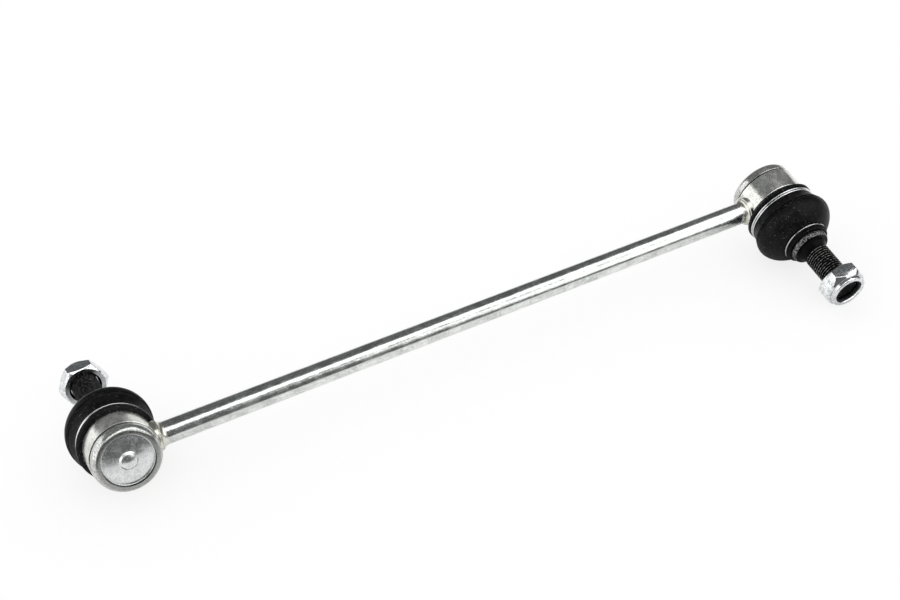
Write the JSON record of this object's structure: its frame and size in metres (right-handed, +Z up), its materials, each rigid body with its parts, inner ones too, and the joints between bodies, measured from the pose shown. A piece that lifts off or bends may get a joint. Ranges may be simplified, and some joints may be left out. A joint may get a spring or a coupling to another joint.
{
  "type": "stabilizer link",
  "caption": "Straight steel anti-roll bar link with a sealed ball joint and a threaded stud with locknut at each end.",
  "frame": {"origin": "under the rod's middle, on the surface that the link lies on", "axes": "+X along the rod to the right ball joint, +Z up; the left stud points towards +Y and the right one towards -Y"},
  "size_m": [0.36, 0.1261, 0.0391],
  "materials": {
    "zinc_steel": "bright zinc plating with a satin draw line along the rod",
    "weld_metal": "plated over upset weld metal, slightly yellow",
    "cover_steel": "satin zinc, fine grain",
    "bearing_plastic": "natural acetal, greased",
    "black_steel": "black phosphate with oil, worn light on the flange's edge",
    "rubber": "smooth moulded chloroprene, satin",
    "spring_wire": "bright drawn wire",
    "nut_zinc": "bright zinc, fine grained flats",
    "nylon": "black nylon"
  },
  "bodies": {
    "link": {"rod": "zinc_steel", "left_weld_ring": "weld_metal", "left_housing": "zinc_steel", "left_cover_plate": "cover_steel", "left_bearing_shell": "bearing_plastic", "left_boot_clip": "spring_wire", "right_weld_ring": "weld_metal", "right_housing": "zinc_steel", "right_cover_plate": "cover_steel", "right_bearing_shell": "bearing_plastic", "right_boot_clip": "spring_wire"},
    "left_swing": {"left_boot": "rubber"},
    "left_lean": {"left_neck_ring": "spring_wire"},
    "left_stud": {"left_ball_stud": "black_steel"},
    "left_nut_travel": {"left_nut_insert": "nylon"},
    "left_nut": {"left_nut": "nut_zinc"},
    "right_swing": {"right_boot": "rubber"},
    "right_lean": {"right_neck_ring": "spring_wire"},
    "right_stud": {"right_ball_stud": "black_steel"},
    "right_nut_travel": {"right_nut_insert": "nylon"},
    "right_nut": {"right_nut": "nut_zinc"}
  },
  "joints": [
    {"name": "left_swing_direction", "type": "hinge", "parent": "link", "child": "left_swing", "pos_m": [-0.1613, 0, 0.02245], "axis": [0, 0.9684, -0.2495], "continuous": true},
    {"name": "left_stud_lean", "type": "hinge", "parent": "left_swing", "child": "left_lean", "pos_m": [-0.1613, 0, 0.02245], "axis": [1, 0, 0], "range_deg": [-34.3, 19.7], "deforming": ["left_boot"]},
    {"name": "left_stud_spin", "type": "hinge", "parent": "left_lean", "child": "left_stud", "pos_m": [-0.1613, 0, 0.02245], "axis": [0, 0.9922, -0.1245], "continuous": true},
    {"name": "left_nut_travel", "type": "slide", "parent": "left_stud", "child": "left_nut_travel", "axis": [0, 0.9922, -0.1245], "range_m": [-0.01625, 0.0065]},
    {"name": "left_nut_turn", "type": "hinge", "parent": "left_nut_travel", "child": "left_nut", "pos_m": [-0.1613, 0, 0.02245], "axis": [0, 0.9922, -0.1245], "range_deg": [-4700, 1892]},
    {"name": "right_swing_direction", "type": "hinge", "parent": "link", "child": "right_swing", "pos_m": [0.1613, 0, 0.02245], "axis": [0, -0.9684, -0.2495], "continuous": true},
    {"name": "right_stud_lean", "type": "hinge", "parent": "right_swing", "child": "right_lean", "pos_m": [0.1613, 0, 0.02245], "axis": [-0.9336, 0.0894, -0.347], "range_deg": [-29.9, 24.1], "deforming": ["right_boot"]},
    {"name": "right_stud_spin", "type": "hinge", "parent": "right_lean", "child": "right_stud", "pos_m": [0.1613, 0, 0.02245], "axis": [-0.0181, -0.9789, -0.2035], "continuous": true},
    {"name": "right_nut_travel", "type": "slide", "parent": "right_stud", "child": "right_nut_travel", "axis": [-0.0181, -0.9789, -0.2035], "range_m": [-0.01625, 0.0065]},
    {"name": "right_nut_turn", "type": "hinge", "parent": "right_nut_travel", "child": "right_nut", "pos_m": [0.1613, 0, 0.02245], "axis": [-0.0181, -0.9789, -0.2035], "range_deg": [-4700, 1892]}
  ],
  "couplings": [
    {"joint": "left_nut_turn", "follows": "left_nut_travel", "rad_per_m": 5026.5},
    {"joint": "right_nut_turn", "follows": "right_nut_travel", "rad_per_m": 5026.5}
  ]
}
